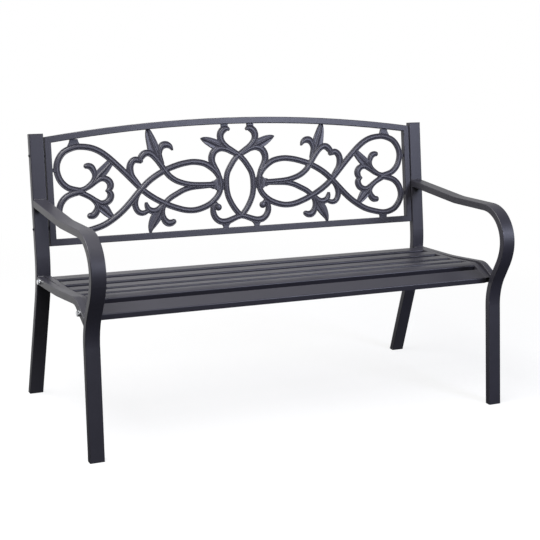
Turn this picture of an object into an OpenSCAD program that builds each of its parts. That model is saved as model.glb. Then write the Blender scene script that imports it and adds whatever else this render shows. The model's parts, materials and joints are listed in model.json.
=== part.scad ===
// Park bench: two bent-tube side frames, a slatted steel seat and an arched
// back panel that holds a cast scroll. X runs along the bench, Y from front
// to back and Z up. The origin is on the floor, at the middle of the bench.

/* [Overall] */
// Width over both side frames
bench_w = 1273; // [1100:1:1800]
// Distance between the front and rear feet, centre to centre
foot_spread = 547; // [500:1:600]

/* [Frame tube] */
// Width of the frame tube, seen from the front
tube_w = 40; // [34:1:44]
// Thickness of the frame tube, seen from the side
tube_t = 20; // [16:1:24]
// Wall of the frame tube
tube_wall = 1.5; // [1:0.1:2.5]
// Outer corner radius of the frame tube
tube_r = 2.5; // [2:0.1:5]

/* [Front leg and armrest] */
// Backward lean of the front leg, in degrees
leg_lean = 8.4; // [6:0.1:10]
// Straight part of the front leg
leg_run = 296; // [285:1:310]
// Turn of the bend at seat height, in degrees
knee_turn = 33; // [30:0.1:36]
// Radius of the bend at seat height
knee_r = 162; // [140:1:180]
// Straight part above the bend at seat height
shin_run = 43; // [35:1:60]
// Turn of the wide bend that starts the armrest, in degrees
reach_turn = 17.1; // [15:0.1:20]
// Radius of the wide bend that starts the armrest
reach_r = 144; // [120:1:170]
// Turn of the front bend of the armrest, in degrees
hand_turn = 101; // [98:0.1:104]
// Radius of the front bend of the armrest
hand_r = 98; // [90:1:106]
// Straight part of the armrest behind the front bend
arm_run = 139; // [110:1:180]
// Turn of the dip in the armrest, in degrees
dip_turn = 5.1; // [3:0.1:7]
// Radius of the dip in the armrest
dip_r = 300; // [200:10:600]

/* [Back post and rear leg] */
// Outward splay of the rear leg, in degrees
splay = 13.2; // [11:0.1:15]
// Straight part of the rear leg
rear_run = 307; // [295:1:315]
// Turn from the rear leg to the back post, in degrees
post_turn = 24.2; // [22:0.1:26]
// Radius of the bend between rear leg and back post
post_r = 300; // [260:1:340]
// Height of the back post above the back panel's corner
post_rise = 6.5; // [2:0.5:30]

/* [Seat rail] */
// Width and thickness of the seat rail tube
rail_t = 20; // [16:1:24]
// Wall of the seat rail tube
rail_wall = 1.5; // [1:0.1:2.5]
// Outer corner radius of the seat rail tube
rail_r = 2; // [1.6:0.1:4]
// Height of the rail's centre at the back post
rail_z = 361; // [352:1:370]
// Rise of the rail towards the front, in degrees
rail_rise = 4; // [3:0.1:5]
// Straight part of the rail at the back
rail_back_run = 141; // [120:1:160]
// Further rise of the rail at the middle, in degrees
rail_turn = 3.5; // [2.5:0.1:4.5]
// Radius of the rail's bend at the middle
rail_mid_r = 1060; // [900:10:1200]
// Straight part of the rail before its front bend
rail_mid_run = 116; // [100:1:130]
// Downward turn of the rail's front bend, in degrees
rail_nose_turn = 33.7; // [30:0.1:37]
// Radius of the rail's front bend
rail_nose_r = 54; // [45:1:65]

/* [Seat] */
// Width of a seat slat, along the curve of the seat
slat_w = 43; // [38:1:46]
// Width of a slot between two slats
slot_w = 27; // [24:0.5:30]
// Width of the slot behind the front slat
front_slot_w = 18; // [14:0.5:26]
// Width of the front slat down to its lip
front_w = 43; // [36:0.5:48]
// Depth of the slats' turned-down edges
slat_h = 15; // [12:0.5:16]
// Depth of the front slat's lip
lip_h = 12.5; // [8:0.5:16]
// Sheet thickness of the slats
slat_t = 1.5; // [1:0.1:2.5]
// Inner radius of the slats' rolled edges
slat_r = 2.5; // [1.5:0.1:4]
// Width of the bars at both ends of the seat
side_bar_w = 18; // [14:1:24]
// Depth of the bars at both ends of the seat
side_bar_h = 18; // [16:0.5:20]
// Wall of the bars at both ends of the seat
side_bar_wall = 1.5; // [1:0.1:2.5]
// Length of the side bars behind the rear slat
side_bar_tail = 11; // [6:1:13]
// Play between the seat and the seat rails
seat_play = 0.5; // [0.2:0.1:0.9]
// Distance from the back post to the rear slat
seat_back_gap = 16; // [14:1:24]
// Height of the seat above the rail at the back
seat_lift = 3.4; // [1:0.1:4]
// Forward rise of the seat at the back, in degrees
seat_rise = 2.4; // [1:0.1:4]
// Straight part of the seat at the back
seat_back_run = 131; // [110:1:140]
// Further rise of the seat at the middle, in degrees
seat_turn = 4.6; // [3.5:0.1:5.5]
// Radius of the seat's curve at the middle
seat_mid_r = 1040; // [900:10:1200]
// Straight part of the seat before its front curve
seat_mid_run = 79; // [60:1:90]
// Downward turn of the seat's front curve, in degrees
seat_nose_turn = 28.2; // [26:0.1:31]
// Radius of the seat's front curve
seat_nose_r = 70; // [50:1:90]
// Width of the brace under the middle of the seat
brace_w = 25; // [15:1:40]
// Thickness of the brace under the middle of the seat
brace_t = 4; // [2:0.5:6]

/* [Back panel] */
// Face width of the back panel's tubes
panel_tube = 19; // [16:0.5:24]
// Depth of the back panel's tubes
panel_t = 18; // [12:0.5:19]
// Wall of the back panel's tubes
panel_wall = 1.2; // [1:0.1:2]
// Outer corner radius of the back panel's tubes
panel_r = 1.8; // [1.3:0.1:3]
// Height of the back panel at its corners
panel_h = 304; // [295:1:312]
// Rise of the arched top rail at the middle
crown = 41; // [30:1:60]
// Distance from the post's bend up to the back panel
panel_lift = 27.5; // [24:0.5:32]
// Gap between the back panel and each post
panel_gap = 2.5; // [2:0.1:4]

/* [Cast scroll] */
// Width of the scroll's straps
strap_w = 15.5; // [12:0.1:17]
// Thickness of the casting
cast_t = 9; // [6:0.5:12]
// Height of the lower tie to the stile
tie_h = 12; // [8:1:16]
// Width of the ties to the top and bottom rails
tie_w = 20; // [14:1:26]
// Radius of the ball at the end of a lower scroll
ball_r = 9.5; // [8:0.1:11]

/* [Fasteners and plugs] */
// Thread diameter of the seat bolts
seat_bolt_d = 8; // [6:0.5:8]
// Thread diameter of the back panel's bolts
panel_bolt_d = 6; // [5:0.5:8]
// Play of a bolt in its hole, on the diameter
bolt_play = 0.6; // [0.4:0.1:1]
// Height of the back panel's bolts from its corners
panel_bolt_inset = 50; // [40:1:70]
// Distance of the rear seat bolts from the back post
seat_bolt_inset = 25; // [20:1:40]
// Height of the rear seat bolts above the rail's centre line
seat_bolt_rise = 1; // [0:0.1:1.5]
// Distance of the front seat bolts from the seat's front edge
nose_bolt_inset = 18; // [18:1:24]
// Thickness of the plugs' visible flange
plug_t = 3; // [2:0.1:5]
// Length of the plugs inside the tubes
plug_l = 18; // [10:1:30]
// Play of the plugs in the tubes, on each side
plug_play = 0.3; // [0.1:0.1:0.6]

/* [Hidden] */
$fn = 64;

// Gap that a weld fills between two welded pieces
weld_gap = 0.1;
// Overrun of every cutting solid
cut = 5;
// Lap of a path's pieces over their neighbours, and what these are thinner
lap = 0.2;
thin = 0.02;
$thin = 0;
// Side of a cutting block that reaches past every piece
beyond = bench_w + foot_spread + rear_run + panel_h;
// Fragments of the long bends
bend_fn = 360;
// Fragments of the arched rail
arch_fn = 1440;

steel = "#3b3a40";
plastic = "#1d1d20";
zinc = "#c9cbcf";

half_w = bench_w / 2;

// A path is a list of [length, turn] pieces in a side view, where x is the
// bench's Y and y its Z. A pose is [x, y, heading].
function run(l) = [l, 0];
function bend(r, a) = [r * abs(a) * PI / 180, a];
function fwd(h, l) = [cos(h) * l, sin(h) * l];
function left(h, l) = [-sin(h) * l, cos(h) * l];
function arc_r(seg) = abs(seg[0] / (seg[1] * PI / 180));
function moved(p, v) = [p[0] + v[0], p[1] + v[1], p[2]];
function side_of(seg) = seg[0] * seg[1] > 0 ? 1 : -1;
function step(p, seg) =
    seg[0] == 0 || seg[1] == 0 ? moved(p, fwd(p[2], seg[0])) :
    let (r = arc_r(seg), s = side_of(seg), h = p[2] + seg[1],
        c = moved(p, left(p[2], r * s)), q = moved(c, left(h, -r * s)))
    [q[0], q[1], h];
function pose(path, start, i) =
    i == 0 ? start : step(pose(path, start, i - 1), path[i - 1]);
function last_pose(path, start) = pose(path, start, len(path));
function part_of(seg, l) = [l, seg[1] * l / seg[0]];
function pose_on(path, start, s, i = 0) =
    s <= path[i][0] || i == len(path) - 1 ? step(start, part_of(path[i], s)) :
    pose_on(path, step(start, path[i]), s - path[i][0], i + 1);
function len_to(path, i) = i == 0 ? 0 : path[i - 1][0] + len_to(path, i - 1);
function stretch(path, a, b) = [for (i = [0:len(path) - 1])
    let (c = len_to(path, i), lo = max(a, c), hi = min(b, c + path[i][0]))
    if (hi > lo) part_of(path[i], hi - lo)];
function inset_path(path, d) =
    [for (seg = path) [seg[0] - d * seg[1] * PI / 180, seg[1]]];
function inset_pose(p, d) = moved(p, left(p[2], d));

// Sizes that every tube path starts from
foot_z = plug_t;
under = tube_t + cut;

// Front leg and armrest, from below the foot up and back to the post
leg_heading = 90 - leg_lean;
leg_start = moved([0, 0, leg_heading], fwd(leg_heading, -under));
arm_bends = [run(leg_run + under), bend(knee_r, knee_turn), run(shin_run),
    bend(reach_r, -reach_turn), bend(hand_r, -hand_turn), run(arm_run),
    bend(dip_r, dip_turn)];
arm_tail = last_pose(arm_bends, leg_start);
knee_pose = pose(arm_bends, leg_start, 1);
knee_centre = moved(knee_pose, left(knee_pose[2], knee_r));
shin_pose = pose(arm_bends, leg_start, 2);
hand_pose = pose(arm_bends, leg_start, 4);

// Back post and rear leg, from below the foot up
rear_heading = 90 + splay;
rear_start = moved([foot_spread, 0, rear_heading], fwd(rear_heading, -under));
post_run = panel_lift + panel_h + post_rise;
post_bends = [run(rear_run + under), bend(post_r, -post_turn), run(post_run)];
post_base = pose(post_bends, rear_start, 2);
post_top = last_pose(post_bends, rear_start);
post_lean = post_turn - splay;
apex_seg = part_of(post_bends[1], post_bends[1][0] * splay / post_turn);
apex = step(pose(post_bends, rear_start, 1), apex_seg);
apex_front = apex[0] - tube_t / 2;

// The armrest runs on until the post's front face stops it
arm_path = concat(arm_bends, [run(post_base[0] + post_run - arm_tail[0])]);

// Seat rail, from the post forward to the front leg
rail_start = [apex_front - weld_gap, rail_z, 180 - rail_rise];
rail_nose = [run(rail_back_run), bend(rail_mid_r, -rail_turn),
    run(rail_mid_run), bend(rail_nose_r, rail_nose_turn)];
nose_end = last_pose(rail_nose, rail_start);
rail_path = concat(rail_nose, [run(nose_end[0])]);

// Seat surface, from the rear slat's edge to the front slat's lip
seat_start = [apex_front - seat_back_gap, rail_z + rail_t / 2 + seat_lift,
    180 - seat_rise];
slats_before_front = 5;
front_slat_from = slats_before_front * (slat_w + slot_w) - slot_w + front_slot_w;
seat_len = front_slat_from + front_w;
seat_bends = [run(seat_back_run), bend(seat_mid_r, -seat_turn),
    run(seat_mid_run), bend(seat_nose_r, seat_nose_turn)];
seat_path = concat(seat_bends,
    [run(seat_len - len_to(seat_bends, len(seat_bends)))]);
seat_front = pose_on(seat_path, seat_start, seat_len);
slat_edge = slat_r + slat_t;
slat_mid_r = slat_r + slat_t / 2;
side_bar_x = half_w - rail_t - seat_play - side_bar_w / 2;
slat_half = side_bar_x - side_bar_w / 2 - weld_gap;

// Back panel, in its own plane: x along the bench, z up the panel
panel_half = half_w - tube_w - panel_gap;
panel_base = moved(post_base, fwd(post_base[2], panel_lift));
arch_r = (panel_half * panel_half + crown * crown) / (2 * crown);
arch_z = panel_h + crown - arch_r;
open_half = panel_half - panel_tube;
function arch_at(r, x) = arch_z + sqrt(r * r - x * x);
function top_at(x) = arch_at(arch_r - panel_tube, x);
open_h = top_at(open_half) - panel_tube;
miter = atan2(panel_h - top_at(open_half), panel_tube);

// Y of the foremost and rearmost faces, which centre the bench
hand_centre = moved(hand_pose, left(hand_pose[2], -hand_r));
arm_front = hand_centre[0] - hand_r - tube_t / 2;
foot_front = -tube_t / 2 / cos(leg_lean);
foot_back = foot_spread + tube_t / 2 / cos(splay);
mid_y = (min(arm_front, foot_front) + foot_back) / 2;

// Fasteners, in the usual proportions of a hexagon bolt
hex_d_share = 1.625;
hex_h_share = 0.65;
button_d_share = 1.75;
button_h_share = 0.55;
socket_d_share = 0.667;
socket_h_share = 0.3;
washer_d_share = 2;
washer_t_share = 0.2;
rivet_nut_d_share = 1.5;
rivet_nut_l_share = 1.6;
rivet_nut_d = panel_bolt_d * rivet_nut_d_share;
rivet_nut_l = panel_bolt_d * rivet_nut_l_share;
rear_bolt_pose = inset_pose(pose_on(rail_path, rail_start, seat_bolt_inset),
    -seat_bolt_rise);
nose_bolt_pose = inset_pose(pose_on(seat_path, seat_start,
    seat_len - nose_bolt_inset),
    rail_r + seat_play + (seat_bolt_d + bolt_play) / 2);

// Turns a side view, drawn with the bench's Y as x and Z as y, upright
module side_view() {
    translate([0, -mid_y, 0])
        rotate([90, 0, 90]) children();
}

// Puts a solid of the right side frame on both sides, or on one
module on_side(s) {
    if (s > 0) children();
    else mirror([1, 0, 0]) children();
}

// A rectangle with true round corners
module round_rect(a, b, r) {
    square([a - 2 * r, b], center = true);
    square([a, b - 2 * r], center = true);
    for (x = [-1, 1])
        for (y = [-1, 1])
            translate([x * (a / 2 - r), y * (b / 2 - r)]) circle(r);
}

// Section of a tube; $thin takes a hair off both its faces
module tube_section(t, w, wall, r) {
    difference() {
        round_rect(t - 2 * $thin, w - 2 * $thin, r - $thin);
        round_rect(t - 2 * wall + 2 * $thin, w - 2 * wall + 2 * $thin,
            r - wall / 2 + $thin);
    }
}

// Section of a solid bar or a sheet
module bar_section(t, w) {
    square([t - 2 * $thin, w - 2 * $thin], center = true);
}

// Draws a section along a path: its x lies across the path in the side
// view and its y along the bench. Every second piece is a hair thinner and
// the pieces beside it lap over its ends, so that they join as one body.
module along(path, start) {
    for (i = [0:len(path) - 1]) {
        seg = path[i];
        even = i % 2 == 0;
        before = even && i > 0 ? lap : 0;
        after = even && i < len(path) - 1 ? lap : 0;
        p = step(pose(path, start, i), part_of(seg, -before));
        whole = part_of(seg, seg[0] + before + after);
        $thin = even ? 0 : thin;
        if (seg[1] == 0)
            translate([p[0], p[1], 0])
                rotate([0, 0, p[2]])
                    rotate([90, 0, 90])
                        linear_extrude(whole[0]) children();
        else {
            r = arc_r(seg);
            s = side_of(seg);
            c = moved(p, left(p[2], r * s));
            first = s > 0 ? p[2] - 90 : p[2] + 90 + whole[1];
            translate([c[0], c[1], 0])
                rotate([0, 0, first])
                    rotate_extrude(angle = abs(whole[1]), $fn = bend_fn)
                        translate([r, 0]) children();
        }
    }
}

// Everything on the left of a pose's heading, as a cutting block
module left_of(p) {
    translate([p[0], p[1], 0])
        rotate([0, 0, p[2]])
            translate([-beyond / 2, 0, -beyond / 2])
                cube([beyond, beyond, beyond]);
}

// A hole or a shank that runs along the bench, seen from the side
module across(p, x, l, d) {
    translate([p[0], p[1], x]) cylinder(d = d, h = l);
}

// Back post and rear leg: one bent tube
module rear_post(s) {
    color(steel) side_view() on_side_z(s)
        difference() {
            translate([0, 0, half_w - tube_w / 2])
                along(post_bends, rear_start)
                    tube_section(tube_t, tube_w, tube_wall, tube_r);
            left_of([0, foot_z, 180]);
            for (p = panel_bolt_poses)
                across(p, half_w - tube_w - cut, tube_w + 2 * cut,
                    panel_bolt_d + bolt_play);
        }
}

// In a side view, the right frame is at positive z
module on_side_z(s) {
    if (s > 0) children();
    else mirror([0, 0, 1]) children();
}

// Front leg and armrest: one bent tube, cut along the post's front face
module arm_leg(s) {
    color(steel) side_view() on_side_z(s)
        difference() {
            translate([0, 0, half_w - tube_w / 2])
                along(arm_path, leg_start)
                    tube_section(tube_t, tube_w, tube_wall, tube_r);
            left_of([0, foot_z, 180]);
            left_of(moved([post_base[0], post_base[1], post_base[2] + 180],
                left(post_base[2], tube_t / 2 + weld_gap)));
        }
}

// What the front leg's bend and the straight part above it take up
module leg_space() {
    translate([knee_centre[0], knee_centre[1], 0])
        cylinder(r = knee_r + tube_t / 2 + weld_gap, h = half_w + cut,
            $fn = bend_fn);
    from = moved(shin_pose, left(shin_pose[2], -tube_t / 2 - weld_gap));
    translate([from[0], from[1], 0])
        rotate([0, 0, from[2]])
            cube([beyond, beyond, half_w + cut]);
}

// Seat rail: a square tube between the post and the front leg
module seat_rail(s) {
    color(steel) side_view() on_side_z(s)
        difference() {
            translate([0, 0, half_w - rail_t / 2])
                along(rail_path, rail_start)
                    tube_section(rail_t, rail_t, rail_wall, rail_r);
            leg_space();
            for (p = [rear_bolt_pose, nose_bolt_pose])
                across(p, half_w - rail_t - cut, rail_t + 2 * cut,
                    seat_bolt_d + bolt_play);
        }
}

// Bar at the end of the seat, which the slats are welded to
side_bar_pose = step(seat_start, run(-side_bar_tail));
side_bar_path = concat([run(side_bar_tail)],
    stretch(seat_path, 0, seat_len));
side_bar_from = inset_pose(side_bar_pose, side_bar_h / 2);
side_bar_line = inset_path(side_bar_path, side_bar_h / 2);
module seat_side_bar(s) {
    color(steel) side_view() on_side_z(s)
        difference() {
            translate([0, 0, side_bar_x])
                along(side_bar_line, side_bar_from)
                    tube_section(side_bar_h, side_bar_w, side_bar_wall,
                        rail_r);
            for (p = [rear_bolt_pose, nose_bolt_pose])
                across(p, side_bar_x, side_bar_w / 2 + cut,
                    seat_bolt_d + bolt_play);
        }
}

// A slat from a to b along the seat: a channel with both edges turned down
module slat(a, b) {
    p = inset_pose(pose_on(seat_path, seat_start, a + slat_edge), slat_t / 2);
    h = p[2] - 90;
    flange = slat_h - slat_edge;
    from = moved(moved(p, fwd(h, -slat_mid_r - flange)),
        fwd(p[2], -slat_mid_r));
    path = concat([run(flange), bend(slat_mid_r, 90)],
        inset_path(stretch(seat_path, a + slat_edge, b - slat_edge),
            slat_t / 2),
        [bend(slat_mid_r, 90), run(flange)]);
    color(steel) side_view()
        along(path, [from[0], from[1], h]) bar_section(slat_t, 2 * slat_half);
}

// The front slat ends in a lip that hangs straight down
module front_slat() {
    a = front_slat_from;
    p = inset_pose(pose_on(seat_path, seat_start, a + slat_edge), slat_t / 2);
    h = p[2] - 90;
    flange = slat_h - slat_edge;
    from = moved(moved(p, fwd(h, -slat_mid_r - flange)),
        fwd(p[2], -slat_mid_r));
    path = concat([run(flange), bend(slat_mid_r, 90)],
        inset_path(stretch(seat_path, a + slat_edge, seat_len), slat_t / 2),
        [bend(slat_mid_r, 270 - seat_front[2]), run(lip_h)]);
    color(steel) side_view()
        along(path, [from[0], from[1], h]) bar_section(slat_t, 2 * slat_half);
}

// Flat brace under the middle of the seat, welded to the slats' edges
brace_line = inset_path(stretch(seat_path, 0, front_slat_from + slat_t),
    slat_h + weld_gap + brace_t / 2);
brace_from = inset_pose(seat_start, slat_h + weld_gap + brace_t / 2);
module seat_brace() {
    color(steel) side_view()
        along(brace_line, brace_from)
            bar_section(brace_t, brace_w);
}

// Puts the back panel's plane on the posts, bottom edge at panel_base
module panel_plane() {
    translate([0, panel_base[0] - mid_y, panel_base[1]])
        rotate([-post_lean, 0, 0]) children();
}

module panel_section() {
    tube_section(panel_tube, panel_t, panel_wall, panel_r);
}

// Arched top rail, mitred to the stiles
module top_rail() {
    reach = asin(panel_half / arch_r) + 1;
    color(steel) panel_plane()
        difference() {
            translate([0, 0, arch_z])
                rotate([0, -90 + reach, 0])
                    rotate([90, 0, 0])
                        rotate_extrude(angle = 2 * reach, $fn = arch_fn)
                            translate([arch_r - panel_tube / 2, 0])
                                panel_section();
            for (s = [-1, 1])
                translate([s * (open_half + weld_gap), 0, top_at(open_half)])
                    rotate([0, -s * miter, 0])
                        translate([s < 0 ? -panel_h : -panel_h / 2,
                            -panel_h / 2, -panel_h])
                            cube([1.5 * panel_h, panel_h, panel_h]);
        }
}

// Straight bottom rail, mitred to the stiles
module bottom_rail() {
    color(steel) panel_plane()
        difference() {
            translate([-panel_half, 0, panel_tube / 2])
                rotate([0, 90, 0])
                    linear_extrude(2 * panel_half) panel_section();
            for (s = [-1, 1])
                translate([s * (open_half + weld_gap), 0, panel_tube])
                    rotate([0, s * 45, 0])
                        translate([s < 0 ? -panel_h : -panel_h / 2,
                            -panel_h / 2, 0])
                            cube([1.5 * panel_h, panel_h, panel_h]);
        }
}

// Stile between the mitres, drilled for the bolts in its outer wall
module stile(s) {
    color(steel) panel_plane() on_side(s)
        difference() {
            translate([panel_half - panel_tube / 2, 0, 0])
                linear_extrude(panel_h) panel_section();
            translate([open_half, 0, panel_tube + weld_gap])
                rotate([0, 45, 0])
                    translate([-panel_h / 2, -panel_h / 2, -panel_h])
                        cube([1.5 * panel_h, panel_h, panel_h]);
            translate([open_half, 0, top_at(open_half) - weld_gap])
                rotate([0, -miter, 0])
                    translate([-panel_h / 2, -panel_h / 2, 0])
                        cube([1.5 * panel_h, panel_h, panel_h]);
            for (z = panel_bolt_heights)
                translate([panel_half - 2 * panel_wall, 0, z])
                    rotate([0, 90, 0])
                        cylinder(d = rivet_nut_d + bolt_play,
                            h = 2 * panel_wall + cut);
        }
}

panel_bolt_heights = [panel_bolt_inset, panel_h - panel_bolt_inset];
panel_bolt_poses = [for (z = panel_bolt_heights)
    moved(panel_base, fwd(panel_base[2], z))];

// The scroll is drawn on a grid that lies on the panel's opening: 574 steps
// to half its width and 268.4 to its height at the stiles, from the middle of
// the bottom rail's upper edge. The third value is a share of the strap's
// width.
grid_x_share = 1 / 574;
grid_z_share = 1 / 268.4;
upper_loop_shares = [[503, 135, 1], [533, 144, 1], [553, 161, 1],
    [562, 192, 1], [557, 217, 1], [540, 239, 1], [516, 250, 1],
    [490, 254, 1], [452, 249, 1], [416, 231, 1], [370, 187, 1],
    [312, 128, 1], [280, 103, 1], [248, 85, 1], [216, 71, 1],
    [180, 60, 1], [148, 58, 1], [118, 64, 1], [95, 75, 1], [76, 93, 1],
    [66, 110, 1], [63, 129, 1]];
lower_loop_shares = [[503, 125, 1], [533, 115, 1], [553, 97, 1],
    [560, 74, 1], [556, 53, 1], [540, 31, 1], [520, 20, 1],
    [495, 16, 1], [460, 22, 1], [420, 36, 1], [370, 70, 1],
    [312, 128, 1], [280, 155, 1], [238, 178, 1], [200, 191, 1],
    [172, 197, 1], [145, 199, 1], [115, 195, 1], [93, 185, 1],
    [76, 170, 1], [65, 151, 1], [63, 129, 1]];
upper_hook_shares = [[500, 133, 1], [476, 139, 1], [460, 152, 1],
    [451, 168, 1], [450, 183, 1], [456, 196, 0.95], [467, 202, 0.85],
    [478, 197, 0.6]];
lower_hook_shares = [[500, 127, 1], [476, 116, 1], [459, 101, 1],
    [451, 86, 1], [449, 71, 1], [456, 59, 0.95], [467, 56, 0.85],
    [478, 62, 0.6]];
heart_top_shares = [[492, 132, 1], [465, 144, 1], [442, 159, 1],
    [426, 163, 1], [412, 155, 1], [407, 141, 1], [411, 130, 0.8],
    [419, 127, 0.4]];
heart_foot_shares = [[492, 126, 1], [465, 112, 1], [444, 97, 1],
    [428, 92, 1], [413, 99, 1], [407, 113, 1], [411, 124, 0.8],
    [419, 127, 0.4]];
outer_lobe_shares = [[316, 138, 0.8], [337, 159, 1], [345, 178, 1],
    [343, 194, 1], [334, 205, 0.95], [322, 209, 0.8], [313, 205, 0.4]];
leaf_strand_shares = [[313, 205, 0.4], [312, 217, 0.8], [301, 226, 0.95],
    [286, 229, 1], [272, 223, 1], [260, 211, 1], [249, 195, 1],
    [238, 179, 1], [224, 162, 1], [204, 147, 1], [180, 137, 1],
    [155, 132, 1], [125, 130, 1], [85, 129, 1]];
foot_strand_shares = [[254, 68, 1], [244, 80, 1], [226, 96, 1],
    [204, 108, 1], [180, 119, 1], [155, 125, 1], [125, 127, 1],
    [85, 129, 1]];
upper_curl_shares = [[256, 206, 1], [255, 225, 1], [249, 240, 1],
    [238, 249, 0.95], [226, 249, 0.85], [217, 240, 0.6]];
lower_curl_shares = [[246, 76, 1], [253, 60, 1], [252, 45, 1],
    [243, 30, 0.95], [230, 22, 0.9], [218, 26, 0.6]];
inner_lobe_shares = [[316, 124, 0.8], [330, 106, 1], [336, 88, 1],
    [333, 72, 1], [325, 62, 0.95], [314, 58, 0.9], [302, 61, 0.6]];
spur_shares = [[301, 85, 0.35], [298, 72, 0.8], [288, 62, 1],
    [273, 58, 1], [259, 64, 1], [247, 77, 1]];
crest_shares = [[-10, 208, 1], [0, 214, 1], [18, 225, 1], [36, 236, 1],
    [52, 249, 1], [60, 264, 1], [58, 279, 1], [50, 293, 0.95],
    [40, 297, 0.8], [31, 293, 0.5]];
middle_shares = [[0, 214, 1], [14, 202, 1], [28, 186, 1], [40, 167, 1],
    [46, 148, 1], [47.5, 129, 1], [46, 110, 1], [40, 87, 1],
    [28, 63, 1], [14, 46, 1], [0, 33, 1]];
ear_shares = [[18, 221, 0.9], [40, 233, 1], [60, 235, 1], [77, 227, 1],
    [86, 212, 1], [87, 197, 1], [80, 182, 1], [68, 163, 0.9]];
base_shares = [[-10, 38, 1], [0, 33, 1], [15, 29, 1], [32, 23, 1],
    [52, 20, 1], [70, 22, 1], [84, 31, 1], [92, 45, 1], [92, 60, 1],
    [84, 70, 0.9], [75, 66, 0.8]];
straps = [upper_loop_shares, lower_loop_shares, upper_hook_shares,
    lower_hook_shares, heart_top_shares, heart_foot_shares,
    outer_lobe_shares, leaf_strand_shares, foot_strand_shares,
    upper_curl_shares, lower_curl_shares, inner_lobe_shares, spur_shares,
    crest_shares, middle_shares, ear_shares, base_shares];
// Leaves: base, tip and widest half width, on the same grid
leaf_shares = [[[450, 152], [402, 211], 14], [[448, 100], [404, 48], 14],
    [[258, 215], [286, 296], 15], [[252, 75], [292, 2], 15],
    [[48, 238], [119, 266], 13], [[262, 66], [298, 84], 8]];
// Half outline of a leaf: shares of its length and of its half width
leaf_outline_shares = [[0, 0.4], [0.2, 0.85], [0.42, 1], [0.65, 0.85],
    [0.85, 0.5], [1, 0.12]];
rib_share = 0.1;
ball_shares = [74, 64];
ball_top_share = 0.6;
// Collar where the middle strands meet the oval
collar_mid_share = 129;
collar_shares = [[96, 9], [86, 12.5], [79, 14], [72, 20], [62, 20]];
// Ties to the frame: place along the rails or up the stiles
top_ties_shares = [[510, 254], [45, 294]];
bottom_ties_shares = [[493, 14], [52, 18]];
side_ties_shares = [192, 74];
side_tie_end_share = 562;
tie_flare_share = 1.7;
// Section of a strap: shares of its half width and of the casting's depth
strap_section_shares = [[-1, 0.5], [-1, -0.15], [-0.42, -0.5],
    [0.42, -0.5], [1, -0.15], [1, 0.5]];
strap_steps = 2;

function grid(p) = [p[0] * grid_x_share * open_half,
    panel_tube + p[1] * grid_z_share * open_h];
function wide(p) = concat(grid(p), [p[2] * strap_w / 2]);
function blend(a, b, c, d, t) = (2 * b + (c - a) * t
    + (2 * a - 5 * b + 4 * c - d) * t * t
    + (3 * b - a - 3 * c + d) * t * t * t) / 2;
function smooth(p, n) = concat([for (i = [0:len(p) - 2])
    for (k = [0:n - 1])
        blend(p[max(i - 1, 0)], p[i], p[i + 1], p[min(i + 2, len(p) - 1)],
            k / n)], [p[len(p) - 1]]);
function unit(v) = v / norm(v);
function turned(v) = [-v[1], v[0]];

// A strap swept along smooth points, in the panel's plane
module strap(shares) {
    q = smooth([for (p = shares) wide(p)], strap_steps);
    n = len(q);
    m = len(strap_section_shares);
    points = [for (i = [0:n - 1])
        let (a = q[max(i - 1, 0)], b = q[min(i + 1, n - 1)],
            t = turned(unit([b[0] - a[0], b[1] - a[1]])))
        for (e = strap_section_shares)
            [q[i][0] + t[0] * e[0] * q[i][2], e[1] * cast_t,
                q[i][1] + t[1] * e[0] * q[i][2]]];
    sides = [for (i = [0:n - 2]) for (j = [0:m - 1])
        let (k = (j + 1) % m)
        [i * m + j, i * m + k, (i + 1) * m + k, (i + 1) * m + j]];
    first = [for (j = [m - 1:-1:0]) j];
    end = [for (j = [0:m - 1]) (n - 1) * m + j];
    polyhedron(points, concat(sides, [first, end]));
}

// Stands a flat shape of the panel's plane up, from depth a to depth b
module slab(a, b) {
    rotate([90, 0, 0])
        translate([0, 0, -b]) linear_extrude(b - a) children();
}

// A leaf with a raised midrib, from its base to its tip
module leaf(base, tip, half) {
    p = grid(base);
    q = grid(tip);
    l = norm(q - p);
    a = atan2(q[1] - p[1], q[0] - p[0]);
    edge = [for (e = leaf_outline_shares) [e[0] * l, e[1] * half]];
    back = [for (i = [len(edge) - 1:-1:0]) [edge[i][0], -edge[i][1]]];
    rib = [for (e = [[0, 1], [1, 1], [1, -1], [0, -1]])
        [e[0] * l, e[1] * half * rib_share]];
    translate([p[0], 0, p[1]])
        rotate([0, -a, 0])
            hull() {
                slab(strap_section_shares[1][1] * cast_t, cast_t / 2)
                    polygon(concat(edge, back));
                slab(-cast_t / 2, 0) polygon(rib);
            }
}

module tie(x, z0, z1, w0, w1) {
    slab(strap_section_shares[1][1] * cast_t, cast_t / 2)
        polygon([[x - w0 / 2, z0], [x + w0 / 2, z0], [x + w1 / 2, z1],
            [x - w1 / 2, z1]]);
}

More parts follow.
